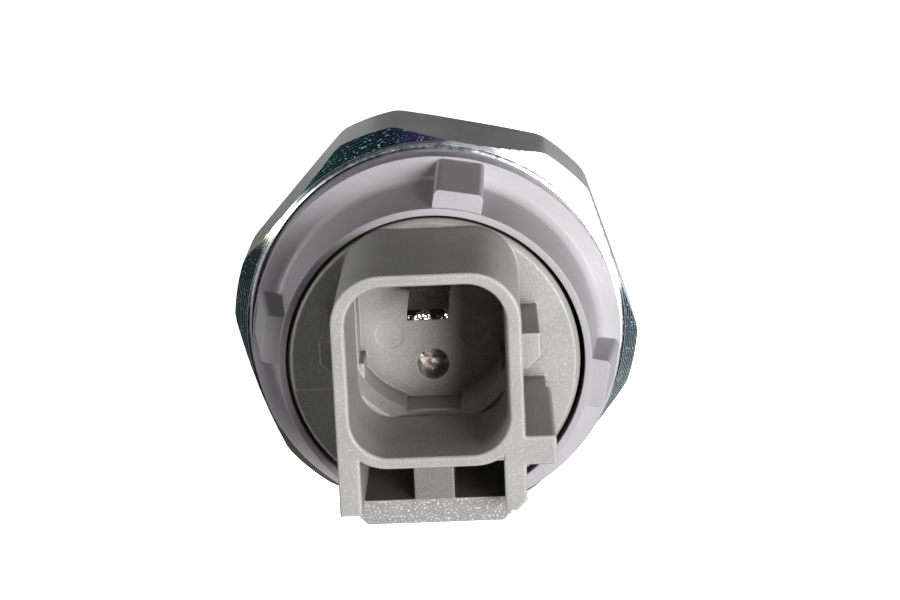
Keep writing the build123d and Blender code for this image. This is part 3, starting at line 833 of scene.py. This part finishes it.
def cut_level(bm, level, keep):
    """Cuts the mesh at a height, and clears one side unless keep is both."""
    bmesh.ops.bisect_plane(
        bm, geom=bm.verts[:] + bm.edges[:] + bm.faces[:], dist=CUT_CLOSE * MM,
        plane_co=(0, 0, level * MM), plane_no=(0, 0, 1),
        clear_outer=keep == "below", clear_inner=keep == "above",
    )


for level in (RELIEF_END - THREAD_R + RELIEF_R, STUD_END + TIP_CHAMFER):
    cut_level(stud, level, "both")
cut_level(stud, RELIEF_END, "below")
cut_level(stud, STUD_END, "above")
for point in stud.verts:
    height = point.co.z / MM
    near_relief = height > RELIEF_END - THREAD_DEEP
    limit = min(
        RELIEF_R + RELIEF_END - height if near_relief else THREAD_R,
        THREAD_R - TIP_CHAMFER + height - STUD_END,
    )
    radius = Vector((point.co.x, point.co.y, 0)).length / MM
    if radius > limit:
        point.co.x *= limit / radius
        point.co.y *= limit / radius
bmesh.ops.remove_doubles(stud, verts=stud.verts, dist=WELD_CHAMFER * MM)
bmesh.ops.dissolve_degenerate(stud, edges=stud.edges, dist=WELD * MM)
print("thread of", len(stud.faces), "faces after its chamfers")

# %% Relief, tip and oil port


def rim_at(bm, level):
    """The open edges at a height."""
    return [
        e for e in bm.edges
        if e.is_boundary and all(abs(v.co.z - level * MM) < SAME_PLACE * MM for v in e.verts)
    ]


top_rim, _ = grow(stud, rim_at(stud, RELIEF_END), RELIEF_R, 0)
tip_rim = rim_at(stud, STUD_END)
for radius, level in (
    (PORT_R, STUD_END), (PORT_R, PORT_TOP), (ORIFICE_R, PORT_TOP), (ORIFICE_R, 0),
):
    tip_rim, _ = grow(stud, tip_rim, radius, level)
bmesh.ops.bridge_loops(stud, edges=top_rim + tip_rim)
bmesh.ops.recalc_face_normals(stud, faces=stud.faces)
print("open edges on the stud:", sum(not e.is_manifold for e in stud.edges))
make_piece("threaded_stud", stud, SENDER, [thread_zinc], "hex_body")

# %% [markdown]
# ## Metal and rubber inside
#
# The blade's faces are painted dark brown, a painted reflection of the shaded socket wall. Its tip
# is bright tin among brown stains, and the bright patches also stand in as painted glints, so its
# colour follows the height. The adjusting screw is scraped bright by the tool that set it. The
# pieces inside the cup hardly show, but each still gets the finish of its own stuff, from one row
# of a table: name, colour, roughness, metallic or not, and grains to a millimetre.

# %% Dress the moulded pieces


def dress(node, material):
    """Gives a node of the solid model its finish."""
    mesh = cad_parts[node].data
    mesh.materials.clear()
    mesh.materials.append(material)


dress("connector_housing", grey_plastic)
dress("retaining_ring", white_nylon)
print("connector and ring dressed")

# %% Blade
# Faces painted dark brown: a painted reflection of the shaded socket wall. Tip: bright tin among
# brown stains, its bright patches also painted glints.
TIP_COLOUR_FROM, TIP_COLOUR_FULL = 23.42, 23.52
FACE_REFLECTION_DARK, FACE_REFLECTION_LIGHT = (0.13, 0.11, 0.095), (0.20, 0.175, 0.15)
STAIN, TIP_GLINT_TIN = (0.12, 0.08, 0.06), (0.98, 0.96, 0.93)

tin_plate, tree, shader = new_material("tin_plate", (0.5, 0.5, 0.48), roughness=0.2, metallic=1.0)
highlighted = map_to(tree, coordinate(tree, "Z"), TIP_COLOUR_FROM * MM, TIP_COLOUR_FULL * MM, 0, 1)
painted_face_reflection = ramp(tree, noise(tree, per_mm=0.9, detail=3), [(0.35, FACE_REFLECTION_DARK), (0.65, FACE_REFLECTION_LIGHT)])
bright = ramp(tree, noise(tree, per_mm=1.3, detail=3), [(0.46, STAIN), (0.50, TIP_GLINT_TIN)])
tree.links.new(mix_colours(tree, "MIX", highlighted, painted_face_reflection, bright), shader.inputs["Base Color"])
gloss = spread(tree, noise(tree, per_mm=2, detail=2), low=0.16, high=0.26)
tree.links.new(gloss, shader.inputs["Roughness"])
grain = noise(tree, per_mm=3.5, detail=2)
bump(tree, shader, grain, depth_mm=0.12, strength=0.9)
dress("terminal_blade", tin_plate)
print("blade rubbed bright above", TIP_COLOUR_FULL, "mm")

# %% Screw
SCRAPED_DARK, SCRAPED_LIGHT = (0.70, 0.58, 0.50), (0.98, 0.93, 0.88)

scraped_zinc, tree, shader = new_material(
    "scraped_zinc", (0.9, 0.82, 0.76), roughness=0.3, metallic=1.0,
)
scrape = ramp(tree, noise(tree, per_mm=2.2, detail=3), [(0.35, SCRAPED_DARK), (0.6, SCRAPED_LIGHT)])
tree.links.new(scrape, shader.inputs["Base Color"])
gloss = spread(tree, noise(tree, per_mm=3, detail=2), low=0.22, high=0.38)
tree.links.new(gloss, shader.inputs["Roughness"])
grain = noise(tree, per_mm=2.4, detail=3)
bump(tree, shader, grain, depth_mm=0.09, strength=0.9)
dress("adjusting_screw", scraped_zinc)
print("screw scraped bright")

# %% The hidden pieces
DARKER, LIGHTER = 0.85, 1.1
SMOOTHER, ROUGHER = 0.8, 1.25
FINISHES = {
    "threaded_bush": ("bush_brass", (0.72, 0.52, 0.24), 0.32, 1.0, 5),
    "contact_spring": ("spring_wire", (0.50, 0.50, 0.50), 0.30, 1.0, 6),
    "moving_contact": ("contact_brass", (0.74, 0.54, 0.26), 0.30, 1.0, 4),
    "contact_plate": ("plate_tin", (0.60, 0.60, 0.58), 0.34, 1.0, 4),
    "piston": ("piston_black", (0.03, 0.03, 0.03), 0.45, 0.0, 8),
    "diaphragm": ("diaphragm_rubber", (0.04, 0.035, 0.03), 0.7, 0.0, 8),
    "barrier_film": ("amber_film", (0.60, 0.28, 0.03), 0.2, 0.0, 2),
    "diaphragm_seal": ("floor_seal_rubber", (0.02, 0.02, 0.02), 0.55, 0.0, 6),
    "housing_seal": ("base_seal_rubber", (0.02, 0.02, 0.02), 0.55, 0.0, 6),
    "sealing_washer": ("washer_aluminium", (0.78, 0.78, 0.77), 0.38, 1.0, 5),
}
finished = {}
for node, (name, colour, roughness, metallic, grains) in FINISHES.items():
    material, tree, shader = new_material(name, colour, roughness, metallic)
    darker, lighter = [tuple(c * k for c in colour) for k in (DARKER, LIGHTER)]
    tone = ramp(tree, noise(tree, per_mm=0.6, detail=3), [(0.3, darker), (0.7, lighter)])
    tree.links.new(tone, shader.inputs["Base Color"])
    gloss = spread(tree, noise(tree, per_mm=2, detail=2), roughness * SMOOTHER, roughness * ROUGHER)
    tree.links.new(gloss, shader.inputs["Roughness"])
    grain = noise(tree, per_mm=grains, detail=2)
    bump(tree, shader, grain, depth_mm=0.004, strength=0.5)
    dress(node, material)
    finished[node] = material
print(len(finished), "nodes finished")

# %% [markdown]
# ## The contact spring
#
# A compression spring grows shorter when the contact below it lifts. A stiff coil would cut into
# the contact instead. Here the coil of the solid model is taken as a new mesh of its own, with its
# doubled points welded; its height stays as the solid model has it. The lift is a small share of
# its length, so the wire hardly flattens.

# %% The coil as a piece of its own
COIL_WELD = 0.0001
coil = bmesh.new()
coil.from_mesh(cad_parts["contact_spring"].data)
bmesh.ops.remove_doubles(coil, verts=coil.verts, dist=COIL_WELD * MM)
spring_wire = finished["contact_spring"]
spring_piece = make_piece("coil_spring", coil, SENDER, [spring_wire], "contact_spring")
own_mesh(spring_piece)

# %% [markdown]
# ## Sizes and finish
#
# A dressed model keeps the size of the solid one.

# %% Finish
print("done")
